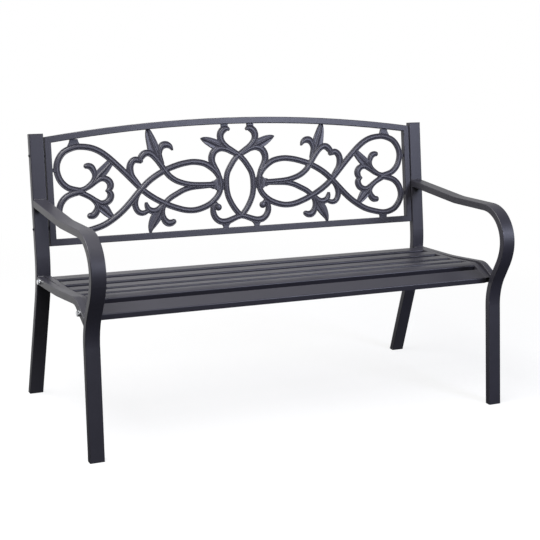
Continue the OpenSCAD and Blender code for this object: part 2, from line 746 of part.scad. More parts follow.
module half_scroll() {
    for (s = straps) strap(s);
    for (l = leaf_shares)
        leaf(l[0], l[1], l[2] * grid_z_share * open_h);
    ball = grid(ball_shares);
    translate([ball[0], 0, ball[1]])
        rotate([90, 0, 0])
            hull() {
                translate([0, 0, -cast_t / 2])
                    cylinder(r = ball_r, h = cast_t / 2, $fn = 24);
                cylinder(r = ball_r * ball_top_share, h = cast_t / 2,
                    $fn = 24);
            }
    upper = [for (p = collar_shares) grid([p[0], collar_mid_share + p[1]])];
    lower = [for (i = [len(collar_shares) - 1:-1:0])
        grid([collar_shares[i][0], collar_mid_share - collar_shares[i][1]])];
    slab(-cast_t / 2, cast_t / 2) polygon(concat(upper, lower));
    for (t = top_ties_shares) {
        p = grid(t);
        tie(p[0], p[1], top_at(p[0]) + weld_gap, tie_w * tie_flare_share,
            tie_w);
    }
    for (t = bottom_ties_shares) {
        p = grid(t);
        tie(p[0], panel_tube - weld_gap, p[1], tie_w,
            tie_w * tie_flare_share);
    }
    for (z = side_ties_shares) {
        p = grid([side_tie_end_share, z]);
        slab(0, cast_t / 2)
            translate([p[0], p[1] - tie_h / 2])
                square([open_half - p[0] + weld_gap, tie_h]);
    }
}

// The panel's opening, a weld's width smaller all round
module opening() {
    steps = 48;
    half = open_half - weld_gap;
    arch = [for (i = [-steps:steps])
        [half * i / steps, top_at(half * i / steps) - weld_gap]];
    slab(-panel_t, panel_t)
        polygon(concat([[half, panel_tube + weld_gap],
            [-half, panel_tube + weld_gap]], arch));
}

// Cast scroll: mirrored straps, leaves and curls in one casting
module scroll_casting() {
    color(steel) panel_plane()
        intersection() {
            union() {
                half_scroll();
                mirror([1, 0, 0]) half_scroll();
            }
            opening();
        }
}

// Plug in the top of a post
module post_cap(s) {
    inner_t = tube_t - 2 * (tube_wall + plug_play);
    inner_w = tube_w - 2 * (tube_wall + plug_play);
    color(plastic) side_view() on_side_z(s)
        translate([0, 0, half_w - tube_w / 2]) {
            along([run(plug_t)], post_top) round_rect(tube_t, tube_w, tube_r);
            along([run(plug_l)], step(post_top, run(-plug_l)))
                round_rect(inner_t, inner_w, tube_r - tube_wall / 2);
        }
}

// Foot plug: a flat foot under the tube and a shank inside it
module foot_plug(s, start, heading) {
    inner_t = tube_t - 2 * (tube_wall + plug_play);
    inner_w = tube_w - 2 * (tube_wall + plug_play);
    color(plastic) side_view() on_side_z(s)
        translate([0, 0, half_w - tube_w / 2]) {
            intersection() {
                along([run(2 * under)], start)
                    round_rect(tube_t, tube_w, tube_r);
                translate([start[0] - beyond / 2, 0, -tube_w])
                    cube([beyond, foot_z, 2 * tube_w]);
            }
            difference() {
                along([run(under + plug_l)], start)
                    round_rect(inner_t, inner_w, tube_r - tube_wall / 2);
                left_of([0, foot_z, 180]);
            }
        }
}

// A row of shapes at the four seat bolts or the four panel bolts
module at_bolts(poses) {
    side_view()
        for (s = [-1, 1])
            on_side_z(s)
                for (p = poses)
                    translate([p[0], p[1], 0]) children();
}

module hexagon(d, h) {
    cylinder(d = d / cos(30), h = h, $fn = 6);
}

module ring(d, hole, h) {
    difference() {
        cylinder(d = d, h = h);
        translate([0, 0, -cut]) cylinder(d = hole, h = h + 2 * cut);
    }
}

module washer(d, x, h) {
    translate([0, 0, x]) ring(d * washer_d_share, d + bolt_play, h);
}

// A round, low head with a hexagon socket
module button_head(d) {
    r = d * button_d_share / 2;
    h = d * button_h_share;
    ball = (r * r + h * h) / (2 * h);
    difference() {
        intersection() {
            translate([0, 0, h - ball]) sphere(ball);
            cylinder(r = r, h = h);
        }
        translate([0, 0, h - d * socket_h_share])
            hexagon(d * socket_d_share, h);
    }
}

seat_poses = [rear_bolt_pose, nose_bolt_pose];
seat_tip_x = side_bar_x - side_bar_w / 2 + side_bar_wall + seat_play;

// Hexagon bolts, through the rails and into the seat's side bars
module seat_bolts() {
    face = half_w + seat_bolt_d * washer_t_share;
    color(zinc) at_bolts(seat_poses) {
        translate([0, 0, face])
            hexagon(seat_bolt_d * hex_d_share, seat_bolt_d * hex_h_share);
        translate([0, 0, seat_tip_x])
            cylinder(d = seat_bolt_d, h = face + lap - seat_tip_x);
    }
}

module seat_washers() {
    color(zinc) at_bolts(seat_poses)
        washer(seat_bolt_d, half_w, seat_bolt_d * washer_t_share);
}

module seat_bar_plugs() {
    inner_h = side_bar_h - 2 * (side_bar_wall + plug_play);
    inner_w = side_bar_w - 2 * (side_bar_wall + plug_play);
    ends = [[last_pose(side_bar_line, side_bar_from), 1],
        [side_bar_from, -1]];
    color(plastic) side_view()
        for (s = [-1, 1])
            on_side_z(s)
                translate([0, 0, side_bar_x])
                    for (e = ends) {
                        p = e[0];
                        along([run(plug_t / 2)],
                            step(p, run(e[1] > 0 ? 0 : -plug_t / 2)))
                            round_rect(side_bar_h, side_bar_w, rail_r);
                        along([run(plug_l / 2)],
                            step(p, run(e[1] > 0 ? -plug_l / 2 : 0)))
                            round_rect(inner_h, inner_w,
                                rail_r - side_bar_wall / 2);
                    }
}

// Button-head bolts, through the posts and into the stiles
module back_bolts() {
    tip = panel_half - rivet_nut_l;
    color(zinc) at_bolts(panel_bolt_poses) {
        translate([0, 0, half_w]) button_head(panel_bolt_d);
        translate([0, 0, tip])
            cylinder(d = panel_bolt_d, h = half_w + lap - tip);
    }
}

module back_spacers() {
    color(plastic) at_bolts(panel_bolt_poses)
        washer(panel_bolt_d, panel_half, panel_gap);
}

module back_rivet_nuts() {
    color(zinc) at_bolts(panel_bolt_poses)
        translate([0, 0, panel_half - rivet_nut_l])
            difference() {
                cylinder(d = rivet_nut_d, h = rivet_nut_l);
                translate([0, 0, -cut])
                    cylinder(d = panel_bolt_d, h = rivet_nut_l + 2 * cut);
            }
}

module nth_slat(k) {
    slat(k * (slat_w + slot_w), k * (slat_w + slot_w) + slat_w);
}

rear_post(-1);  // rear_post_left
rear_post(1);  // rear_post_right
arm_leg(-1);  // arm_leg_left
arm_leg(1);  // arm_leg_right
seat_rail(-1);  // seat_rail_left
seat_rail(1);  // seat_rail_right
seat_side_bar(-1);  // seat_side_bar_left
seat_side_bar(1);  // seat_side_bar_right
nth_slat(0);  // seat_slat_rear
nth_slat(1);  // seat_slat_2
nth_slat(2);  // seat_slat_3
nth_slat(3);  // seat_slat_4
nth_slat(4);  // seat_slat_5
front_slat();  // seat_slat_front
seat_brace();
top_rail();  // back_top_rail
bottom_rail();  // back_bottom_rail
stile(-1);  // back_stile_left
stile(1);  // back_stile_right
scroll_casting();
post_cap(-1);  // post_cap_left
post_cap(1);  // post_cap_right
foot_plug(-1, leg_start, leg_heading);  // foot_front_left
foot_plug(1, leg_start, leg_heading);  // foot_front_right
foot_plug(-1, rear_start, rear_heading);  // foot_rear_left
foot_plug(1, rear_start, rear_heading);  // foot_rear_right
seat_bolts();
seat_washers();
seat_bar_plugs();
back_bolts();
back_spacers();
back_rivet_nuts();
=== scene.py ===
"""Looks of a park bench: powder-coated bent tubes and rolled slats, a cast
scroll in the back panel, zinc-plated bolts and black plastic plugs."""

import json
import math

import bmesh
import bpy
from mathutils import Matrix, Vector


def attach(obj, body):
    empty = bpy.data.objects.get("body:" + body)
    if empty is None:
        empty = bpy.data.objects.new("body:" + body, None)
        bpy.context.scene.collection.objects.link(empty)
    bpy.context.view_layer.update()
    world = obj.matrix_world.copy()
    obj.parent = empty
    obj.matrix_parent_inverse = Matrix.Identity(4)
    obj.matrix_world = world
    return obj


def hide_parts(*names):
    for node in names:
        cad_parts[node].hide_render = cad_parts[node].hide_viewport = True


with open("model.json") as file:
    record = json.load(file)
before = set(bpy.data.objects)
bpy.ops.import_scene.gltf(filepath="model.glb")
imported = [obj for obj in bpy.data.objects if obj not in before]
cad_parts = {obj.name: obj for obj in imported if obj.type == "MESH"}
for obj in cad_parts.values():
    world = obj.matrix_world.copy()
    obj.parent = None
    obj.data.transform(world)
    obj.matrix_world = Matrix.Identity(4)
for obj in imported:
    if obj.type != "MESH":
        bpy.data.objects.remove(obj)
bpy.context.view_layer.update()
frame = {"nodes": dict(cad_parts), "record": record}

BODY = "root"
MM = 0.001


# Materials


def linear(hex_colour):
    """An sRGB hex colour as linear RGBA."""
    shares = [int(hex_colour[i : i + 2], 16) / 255 for i in (1, 3, 5)]
    return [
        c / 12.92 if c <= 0.04045 else ((c + 0.055) / 1.055) ** 2.4 for c in shares
    ] + [1]


def add(tree, kind, settings=None, links=None):
    """Adds a node, sets its sockets or properties, and links inputs from
    (node, output) pairs."""
    node = tree.nodes.new(kind)
    for name, value in (settings or {}).items():
        if isinstance(name, int) or name in node.inputs:
            node.inputs[name].default_value = value
        else:
            setattr(node, name, value)
    for name, (source, output) in (links or {}).items():
        tree.links.new(source.outputs[output], node.inputs[name])
    return node


def fresh(owner):
    """The emptied node tree of a material or world."""
    owner.use_nodes = True
    owner.node_tree.nodes.clear()
    return owner.node_tree


def per_metre(size_mm):
    """Noise scale whose features are about size_mm across."""
    return 1 / (size_mm * MM)


def powder_coat(name, colours, roughness, peel_mm, peel_depth, grain_mm, grain_depth):
    """Baked powder coat in two close shades: satin, with the faint orange peel
    of its melt over the grain of the metal below."""
    material = bpy.data.materials.new(name)
    tree = fresh(material)
    place = add(tree, "ShaderNodeTexCoord")
    cloud = add(
        tree,
        "ShaderNodeTexNoise",
        {"Scale": per_metre(60), "Detail": 3, "Roughness": 0.55},
        {"Vector": (place, "Object")},
    )
    tint = add(
        tree,
        "ShaderNodeMix",
        {"data_type": "RGBA", 6: linear(colours[0]), 7: linear(colours[1])},
        {"Factor": (cloud, "Fac")},
    )
    satin = add(
        tree,
        "ShaderNodeMapRange",
        {"To Min": roughness - 0.04, "To Max": roughness + 0.04},
        {"Value": (cloud, "Fac")},
    )
    peel = add(
        tree,
        "ShaderNodeTexNoise",
        {"Scale": per_metre(peel_mm), "Detail": 1},
        {"Vector": (place, "Object")},
    )
    soft = add(
        tree,
        "ShaderNodeBump",
        {"Strength": 0.5, "Distance": peel_depth * MM},
        {"Height": (peel, "Fac")},
    )
    grain = add(
        tree,
        "ShaderNodeTexNoise",
        {"Scale": per_metre(grain_mm), "Detail": 4, "Roughness": 0.6},
        {"Vector": (place, "Object")},
    )
    rough = add(
        tree,
        "ShaderNodeBump",
        {"Strength": 0.5, "Distance": grain_depth * MM},
        {"Height": (grain, "Fac"), "Normal": (soft, "Normal")},
    )
    skin = add(
        tree,
        "ShaderNodeBsdfPrincipled",
        {"IOR": 1.45},
        {
            "Base Color": (tint, 2),
            "Roughness": (satin, "Result"),
            "Normal": (rough, "Normal"),
        },
    )
    add(tree, "ShaderNodeOutputMaterial", {}, {"Surface": (skin, "BSDF")})
    return material


def polyethylene():
    """Black polyethylene, injection moulded: matt, with the fine sparked
    grain of its mould."""
    material = bpy.data.materials.new("moulded_black_polyethylene")
    tree = fresh(material)
    place = add(tree, "ShaderNodeTexCoord")
    spark = add(
        tree,
        "ShaderNodeTexNoise",
        {"Scale": per_metre(0.7), "Detail": 2},
        {"Vector": (place, "Object")},
    )
    grain = add(
        tree,
        "ShaderNodeBump",
        {"Strength": 0.4, "Distance": 0.08 * MM},
        {"Height": (spark, "Fac")},
    )
    matt = add(
        tree,
        "ShaderNodeMapRange",
        {"To Min": 0.5, "To Max": 0.62},
        {"Value": (spark, "Fac")},
    )
    skin = add(
        tree,
        "ShaderNodeBsdfPrincipled",
        {"Base Color": linear("#232327"), "IOR": 1.5},
        {"Roughness": (matt, "Result"), "Normal": (grain, "Normal")},
    )
    add(tree, "ShaderNodeOutputMaterial", {}, {"Surface": (skin, "BSDF")})
    return material


def zinc_plate(name, colours):
    """Zinc plate on steel: a metal with the soft cloudiness that its bath
    leaves."""
    material = bpy.data.materials.new(name)
    tree = fresh(material)
    place = add(tree, "ShaderNodeTexCoord")
    cloud = add(
        tree,
        "ShaderNodeTexNoise",
        {"Scale": per_metre(4), "Detail": 3},
        {"Vector": (place, "Object")},
    )
    tint = add(
        tree,
        "ShaderNodeMix",
        {"data_type": "RGBA", 6: linear(colours[0]), 7: linear(colours[1])},
        {"Factor": (cloud, "Fac")},
    )
    shine = add(
        tree,
        "ShaderNodeMapRange",
        {"To Min": 0.25, "To Max": 0.4},
        {"Value": (cloud, "Fac")},
    )
    skin = add(
        tree,
        "ShaderNodeBsdfPrincipled",
        {"Metallic": 1},
        {"Base Color": (tint, 2), "Roughness": (shine, "Result")},
    )
    add(tree, "ShaderNodeOutputMaterial", {}, {"Surface": (skin, "BSDF")})
    return material


FINISHES = {
    # Drawn tube and sheet are smooth, so only the peel of the coat shows.
    "powder_coat": powder_coat(
        "charcoal_powder_coat_on_steel",
        ("#28272d", "#2e2d34"),
        roughness=0.4,
        peel_mm=3,
        peel_depth=0.02,
        grain_mm=0.8,
        grain_depth=0.008,
    ),
    # The sand of the mould shows through the coat of the casting. Its two shades are lighter than
    # the frame's, though it is the same paint: painted light on the scroll.
    "cast_coat": powder_coat(
        "sand_cast_coat_lightened_as_painted_light",
        ("#35343b", "#3c3b43"),
        roughness=0.4,
        peel_mm=4,
        peel_depth=0.03,
        grain_mm=1.2,
        grain_depth=0.012,
    ),
    "plug_plastic": polyethylene(),
    # Cool white metal
    "zinc": zinc_plate("bright_zinc_plate_on_steel", ("#d4d6d9", "#eceef0")),
}
# The bolts of the back panel get darkened zinc: painted shade, so that they show as the dark
# notches where they sit.
BOLT_ZINC_DARKENED_AS_SHADE = zinc_plate("zinc_darkened_as_painted_shade", ("#303136", "#3c3d42"))
for row in frame["record"]["subparts"]:
    materials = frame["nodes"][row["node"]].data.materials
    materials.clear()
    materials.append(FINISHES[row["material_slot"]])
frame["nodes"]["back_bolts"].data.materials[0] = BOLT_ZINC_DARKENED_AS_SHADE


# Making of pieces


def smooth(points, steps):
    """A smooth line of points through given ones."""
    line = []
    last = len(points) - 1
    for i in range(last):
        a, b, c, d = (points[max(0, min(last, i + k))] for k in (-1, 0, 1, 2))
        for k in range(steps):
            t = k / steps
            line.append(
                [
                    (
                        2 * q
                        + (r - p) * t
                        + (2 * p - 5 * q + 4 * r - s) * t * t
                        + (3 * q - p - 3 * r + s) * t * t * t
                    )
                    / 2
                    for p, q, r, s in zip(a, b, c, d)
                ]
            )
    return line + [list(points[last])]


def skin_rings(mesh, rings):
    """Skins a row of closed rings and closes both ends."""
    rows = [[mesh.verts.new(p) for p in ring] for ring in rings]
    for a, b in zip(rows, rows[1:]):
        for i in range(len(a)):
            j = (i + 1) % len(a)
            mesh.faces.new((a[i], a[j], b[j], b[i]))
    mesh.faces.new(rows[0])
    mesh.faces.new(rows[-1][::-1])


def both_sides(mesh):
    """Adds the mirror image in x of all that the mesh holds."""
    copied = bmesh.ops.duplicate(mesh, geom=mesh.verts[:] + mesh.edges[:] + mesh.faces[:])
    verts = [v for v in copied["geom"] if isinstance(v, bmesh.types.BMVert)]
    bmesh.ops.scale(mesh, vec=(-1, 1, 1), verts=verts)


SHARP_EDGE = math.radians(35)


def make(name, mesh, slot, place):
    """Turns a mesh drawn in millimetres at place into a piece of the bench."""
    bmesh.ops.recalc_face_normals(mesh, faces=mesh.faces)
    mesh.transform(place @ Matrix.Scale(MM, 4))
    data = bpy.data.meshes.new(name)
    mesh.to_mesh(data)
    mesh.free()
    data.polygons.foreach_set("use_smooth", [True] * len(data.polygons))
    data.set_sharp_from_angle(angle=SHARP_EDGE)
    data.materials.append(FINISHES[slot])
    thing = bpy.data.objects.new(name, data)
    bpy.context.scene.collection.objects.link(thing)
    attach(thing, BODY)
    return thing


# The cast scroll, in the plane of the back panel: x from its middle, depth
# with the front negative, and height from its lower edge
PANEL_LEAN = math.radians(11)
PANEL_PLANE = Matrix.Translation((0, 0.20624, 0.45163)) @ Matrix.Rotation(
    -PANEL_LEAN, 4, "X"
)
PANEL_TUBE = 19
OPENING_HALF = 575
OPENING_H = 268.4
ARCH_R = 4323.4
ARCH_TOP = 326
STRAP_HALF = 8.3
CAST_BACK = 4.5
# Half width and height of the grid that gives the places on the panel
GRID_HALF = 574
GRID_H = 268.4
# Gap between the end of a tie and the rail or stile it meets
JOINT_GAP = 0.1
LINE_STEPS = 5
TIE_STEPS = 4

# A strap's front: (share of the half width, depth). A rim, a groove and a
# round bead in the middle; its back is flat.
STRAP_FRONT = [
    (1.0, -1.6),
    (0.97, -2.6),
    (0.9, -3.2),
    (0.79, -3.0),
    (0.69, -2.2),
    (0.6, -2.1),
    (0.51, -2.7),
    (0.36, -3.7),
    (0.18, -4.2),
    (0.0, -4.3),
]
BACK_CHAMFER = 0.8
BACK_SHARE = 0.94
STRAP_RING = (
    [
        (1.0, CAST_BACK - BACK_CHAMFER),
        (BACK_SHARE, CAST_BACK),
        (-BACK_SHARE, CAST_BACK),
        (-1.0, CAST_BACK - BACK_CHAMFER),
    ]
    + [(-u, d) for u, d in STRAP_FRONT]
    + STRAP_FRONT[-2::-1]
)

# Centre lines: place across, place up from the bottom rail's upper edge, and
# share of the strap's width. Each has the rise of its strap where straps cross.
STRAPS = {
    "upper_loop": (0.3, [(488, 132, 1.08), (503, 133, 1.08), (531, 142, 1.08), (551, 162, 1.08),
        (560, 190, 1.08), (556, 216, 1.08), (540, 239, 1.08), (516, 251, 1.08),
        (490, 255, 1.08), (452, 249, 1.08),
        (416, 229, 1.08), (370, 187, 1.08), (312, 128, 1.08), (280, 103, 1.08), (248, 85, 1.08),
        (216, 71, 1.08), (180, 60, 1.08), (148, 58, 1.08), (118, 65, 1.08), (95, 76, 1.08),
        (76, 93, 1), (66, 110, 1), (63, 129, 1), (63.5, 134, 1)]),
    "lower_loop": (1.2, [(488, 127, 1.08), (503, 127, 1.08), (533, 118, 1.08), (552, 100, 1.08),
        (560, 75, 1.08), (556, 53, 1.08), (540, 31, 1.08), (520, 20, 1.08),
        (495, 16, 1.08), (460, 22, 1.08),
        (420, 36, 1.08), (370, 70, 1.08), (312, 128, 1.08), (280, 155, 1.08), (238, 178, 1.08),
        (200, 191, 1.08), (172, 197, 1.08), (145, 199, 1.08), (115, 194, 1.08), (93, 182, 1.08),
        (76, 166, 1), (66, 149, 1), (63, 129, 1), (63.5, 124, 1)]),
    "upper_hook": (0.2, [(500, 131, 1), (480, 137, 0.9), (465, 148, 0.8), (455, 160, 0.73),
        (451, 173, 0.77), (453, 186, 1.02), (459, 196, 1.13), (467, 200, 1.08), (473, 200, 0.95)]),
    "lower_hook": (0.2, [(500, 129, 1.1), (480, 119, 0.97), (465, 110, 0.88), (454, 99, 0.83),
        (448, 88, 0.85), (448, 77, 1.07), (453, 67, 1.24), (461, 60, 1.23), (469, 59, 1.1)]),
    "heart_top": (0.1, [(492, 132, 0.95), (468, 142, 0.88), (449, 154, 0.88), (434, 162.5, 1),
        (420, 162, 1.1), (409.5, 155, 1.2), (405, 145, 1.2), (407, 135, 1.1), (413, 129, 0.8),
        (420, 127, 0.3)]),
    "heart_foot": (0.1, [(492, 126, 0.95), (468, 113, 0.88), (450, 101, 0.88), (437, 93.5, 1),
        (424, 93.5, 1.1), (412, 100, 1.2), (406, 111, 1.2), (407, 120, 1.1), (413, 126, 0.8),
        (420, 128, 0.3)]),
    "outer_lobe": (-0.2, [(314, 132, 0.8), (326, 148, 0.95), (339, 165, 1.12), (344, 182, 1.25),
        (342, 198, 1.2), (334, 209, 1.15), (324, 212, 1.15), (315, 208, 0.9), (308, 203, 0.4)]),
    "leaf_strand": (2.2, [(308, 203, 0.4), (311, 213, 1), (306, 222, 1.15), (297, 229, 1.2),
        (285, 230, 1.15), (273, 223, 1.05), (261, 210, 1), (249, 194, 1), (238, 178, 1),
        (224, 161, 1), (204, 147, 1), (180, 138, 1), (155, 133, 1), (125, 131, 1), (85, 130, 1)]),
    "foot_strand": (-0.7, [(254, 68, 1), (244, 80, 1), (226, 96, 1), (204, 108, 1),
        (180, 119, 1), (155, 125, 1), (125, 127, 1), (85, 129, 1)]),
    "upper_curl": (0.1, [(243, 196, 0.6), (248, 210, 0.8), (251, 227, 0.8), (247, 243, 1.1),
        (239, 251, 1.3), (228, 252, 1.2), (218, 247, 0.9), (213, 240, 0.5), (211, 235, 0.2)]),
    "lower_curl": (0.1, [(242, 80, 0.7), (248, 67, 0.68), (250, 54, 0.75), (249, 43, 0.97),
        (244, 32, 1.2), (235, 25, 1.28), (225, 25, 1.2), (218, 28, 0.97)]),
    "inner_lobe": (-0.2, [(316, 124, 0.8), (329, 105, 1), (334, 87, 1.08), (331, 72, 1.03),
        (324, 62, 1), (314, 58, 0.97), (303, 60, 0.85), (294, 64, 0.6)]),
    "spur": (0, [(300, 89, 0.35), (299, 81, 0.75), (295, 71, 1), (287, 64, 1.15), (275, 62, 1.15),
        (263, 66, 1.1), (248, 79, 0.9)]),
    "crest": (0.3, [(27, 289, 0.4), (35, 293, 1), (45, 291, 1.25), (54, 282, 1.28),
        (57, 268, 1.2), (51, 253, 1.08), (37, 239, 1.03), (19, 227, 1), (0, 214, 1),
        (-14, 201, 1), (-26, 185, 1), (-38, 165, 1), (-43, 147, 1), (-44, 129, 1),
        (-43, 109, 1), (-38, 88, 1), (-26, 64, 1), (-13, 46, 1), (0, 34, 1), (14, 30, 1),
        (28, 25, 1.06), (42, 20, 1.15), (55, 18, 1.18), (69, 20, 1.15), (81, 28, 1.1),
        (89, 41, 1.08), (91, 55, 1), (88, 67, 0.9), (81, 72, 0.75), (75, 67, 0.6)]),
    "ear": (0.1, [(8, 216, 0.8), (22, 224, 0.95), (40, 233, 1.08), (60, 236, 1.2), (78, 228, 1.25),
        (87, 212, 1.25), (87, 197, 1.18), (80, 182, 1.05), (71, 166, 0.95), (64, 150, 0.7),
        (60, 138, 0.4)]),
}
# Straps whose free end is rounded, and the angles of the rings that round it
ROUND_ENDS = ("upper_hook", "lower_hook", "lower_curl")
ROUND_TURNS = (20, 40, 60, 75, 86)

# Leaves: midrib and both edges, from base to tip
LEAVES = {
    "inner_top": ([(455, 152), (445, 166), (434, 177), (422, 187), (411, 198), (401, 208)],
        [(460, 158), (450, 178), (439, 190), (427, 200), (416, 209), (407, 216)],
        [(446, 150), (430, 160), (417, 171), (406, 184), (399, 194), (392, 203)]),
    "inner_foot": ([(457, 104), (447, 93), (437, 83), (426, 73), (415, 62), (404, 52)],
        [(458, 95), (448, 76), (438, 67), (428, 58), (418, 51), (408, 44)],
        [(444, 98), (430, 92), (417, 87), (410, 77), (404, 65), (398, 56)]),
    "top": ([(254, 206), (261, 230), (269, 251), (277, 271), (282, 286), (285, 297)],
        [(268, 212), (285, 236), (289, 255), (291, 273), (291, 287), (289, 298)],
        [(244, 208), (250, 238), (256, 258), (265, 277), (272, 290), (277, 298)]),
    "foot": ([(252, 74), (261, 54), (271, 38), (281, 22), (288, 9), (291, 0)],
        [(268, 70), (285, 52), (292, 38), (296, 22), (296, 9), (294, 0)],
        [(246, 68), (254, 42), (262, 30), (274, 17), (284, 7), (288, 0)]),
    "side": ([(42, 236), (58, 243), (75, 250), (92, 257), (107, 262), (120, 266)],
        [(46, 248), (60, 259), (76, 265), (94, 270), (110, 271), (120, 268)],
        [(48, 230), (68, 232), (84, 236), (97, 244), (109, 253), (119, 264)]),
}
# A leaf's front, from the midrib out to an edge: (share, depth)
LEAF_FRONT = [
    (0.0, -4.9),
    (0.1, -4.5),
    (0.24, -2.9),
    (0.5, -2.1),
    (0.76, -3.1),
    (0.92, -3.1),
    (1.0, -1.4),
]
# Share of its height that a leaf has lost at the tip
LEAF_TIP_DROP = 0.35

# Ball that ends the crest strap: (radius, depth), from the back to the front
BALL_AT = (73, 62)
BALL_RINGS = [
    (10, 4.5),
    (10.4, 3.6),
    (10.4, 0),
    (9.8, -1.8),
    (8.5, -3.1),
    (6.5, -4.1),
    (3.7, -4.8),
    (1.2, -5),
]
BALL_SIDES = 24

# Collar where the middle strands meet the oval: place across, half height
# and depth of its front
COLLAR = [(97, 8.5, -3), (93, 9.8, -3.6), (89, 11.6, -4), (88, 12.2, -4.8),
    (85, 12.8, -5), (83, 12.8, -4.6), (82, 12.6, -3.6), (80, 13.8, -3.6),
    (79, 14.6, -4.8), (76, 16.6, -5.2), (73.5, 19, -4.8), (72.5, 19.6, -3.6),
    (69, 20, -3.4), (62, 20, -2.6), (57, 17, -1), (46, 14, -1)]
COLLAR_Z = 129

# Ties to the rails: place across, height of the strap's end, and half widths
# from there to the rail
TOP_TIES = [(506, 253, (22, 17.5, 13.5, 11.5)), (42, 294, (11, 11, 11, 11))]
FOOT_TIES = [(493, 14, (17, 14, 12.5, 12.5)), (51, 17, (21, 14.5, 10, 8))]
# Ties to the stiles: height and half height
SIDE_TIES = [(192, 5.5), (74, 6)]
SIDE_TIE_ACROSS = 558
TIE_FRONT = -1.4
TIE_ROUND = 1


def on_grid(p):
    """A place on the panel grid as x and height, in millimetres."""
    return [p[0] * OPENING_HALF / GRID_HALF, PANEL_TUBE + p[1] * OPENING_H / GRID_H]


def rail_above(x):
    """Height of the arched rail's lower edge."""
    return ARCH_TOP - ARCH_R + math.sqrt(ARCH_R**2 - x * x)


def add_strap(mesh, rise, line, round_end):
    """A strap along a line, with its free end rounded off."""
    spots = smooth([on_grid(p) + [p[2] * STRAP_HALF] for p in line], LINE_STEPS)
    rings = []
    for i, (x, z, half) in enumerate(spots):
        a, b = spots[max(i - 1, 0)], spots[min(i + 1, len(spots) - 1)]
        ahead = Vector((b[0] - a[0], b[1] - a[1])).normalized()
        rings.append((x, z, half, 1, ahead))
    if round_end:
        x, z, half, full, ahead = rings[-1]
        for turn in ROUND_TURNS:
            reach = half * math.sin(math.radians(turn))
            left = math.cos(math.radians(turn))
            rings.append(
                (x + ahead.x * reach, z + ahead.y * reach, half * left, left**0.5, ahead)
            )
    skin_rings(
        mesh,
        [
            [
                (
                    x - ahead.y * u * half,
                    d if d > 0 else (d - rise) * tall,
                    z + ahead.x * u * half,
                )
                for u, d in STRAP_RING
            ]
            for x, z, half, tall, ahead in rings
        ],
    )


def add_leaf(mesh, rib, left, right):
    """A leaf with a raised midrib, a hollow on both sides of it and a rim."""
    lines = [smooth([on_grid(p) for p in line], LINE_STEPS) for line in (rib, left, right)]
    rings = []
    for i, (middle, one, other) in enumerate(zip(*lines)):
        tall = 1 - LEAF_TIP_DROP * (i / (len(lines[0]) - 1)) ** 3
        front = []
        for edge, order in ((one, -1), (other, 1)):
            half = [
                (
                    middle[0] + (edge[0] - middle[0]) * u,
                    d * tall,
                    middle[1] + (edge[1] - middle[1]) * u,
                )
                for u, d in LEAF_FRONT
            ]
            front += half[::-1] if order < 0 else half[1:]
        rings.append(
            [(one[0], CAST_BACK, one[1])] + front + [(other[0], CAST_BACK, other[1])]
        )
    skin_rings(mesh, rings)


def block_ring(along, half, back, front, upright, middle):
    """Ring of a tie or the collar, with its front edges rounded."""
    flat = [
        (half, back),
        (half, front + TIE_ROUND),
        (half - TIE_ROUND, front),
        (TIE_ROUND - half, front),
        (-half, front + TIE_ROUND),
        (-half, back),
    ]
    if upright:
        return [(middle + u, d, along) for u, d in flat]
    return [(along, d, middle + u) for u, d in flat]


def add_tie(mesh, x, z0, z1, halves):
    """A tie between a strap and a rail, flared towards the strap."""
    last = len(halves) - 1
    heights = [[z0 + (z1 - z0) * i / last, h] for i, h in enumerate(halves)]
    spots = smooth(heights, TIE_STEPS)
    skin_rings(
        mesh,
        [block_ring(z, half, CAST_BACK, TIE_FRONT, True, x) for z, half in spots],
    )


def cast_scroll():
    """One half of the scroll, then its mirror image."""
    mesh = bmesh.new()
    for name, (rise, line) in STRAPS.items():
        add_strap(mesh, rise, line, name in ROUND_ENDS)
    for lines in LEAVES.values():
        add_leaf(mesh, *lines)
    ball_x, ball_z = on_grid(BALL_AT)
    skin_rings(
        mesh,
        [
            [
                (
                    ball_x + r * math.cos(math.tau * k / BALL_SIDES),
                    d,
                    ball_z + r * math.sin(math.tau * k / BALL_SIDES),
                )
                for k in range(BALL_SIDES)
            ]
            for r, d in BALL_RINGS
        ],
    )
    collar = []
    for across, half, front in COLLAR:
        x, z = on_grid((across, COLLAR_Z))
        collar.append(block_ring(x, half, CAST_BACK, front, False, z))
    skin_rings(mesh, collar)
    for across, up, halves in TOP_TIES:
        x, z = on_grid((across, up))
        add_tie(mesh, x, z, rail_above(x) - JOINT_GAP, halves)
    for across, up, halves in FOOT_TIES:
        x, z = on_grid((across, up))
        add_tie(mesh, x, z, PANEL_TUBE + JOINT_GAP, halves)
    for up, half in SIDE_TIES:
        x, z = on_grid((SIDE_TIE_ACROSS, up))
        skin_rings(
            mesh,
            [
                block_ring(along, half, CAST_BACK, TIE_FRONT, False, z)
                for along in (x, OPENING_HALF - JOINT_GAP)
            ],
        )
    both_sides(mesh)
    return mesh


scroll = make("cast_scroll", cast_scroll(), "cast_coat", PANEL_PLANE)
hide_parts("scroll_casting")

# Fillet welds: spans in x, then places (y, z) of the upper and lower run
POST_X = (596.5, 636.5)
RAIL_X = (616.5, 636.5)
ARM_ON_POST = [(220.9, 582.2), (217, 562)]
RAIL_ON_POST = [(185.2, 371.2), (185.5, 351)]
RAIL_ON_LEG = [(-226.4, 368.8), (-221.4, 348.6)]
ARM_INSET = 2
RAIL_INSET = 1.5
ARM_BEAD = 3
POST_BEAD = 2.6
LEG_BEAD = 2.4
BEAD_STEP = 0.8
BEAD_SIDES = 10
RIPPLE_MM = 2.4
RIPPLE_SHARE = 0.1
# A bead starts and ends at a share of its radius and grows by a share a step.
BEAD_START = 0.45
BEAD_GROWTH = 0.2


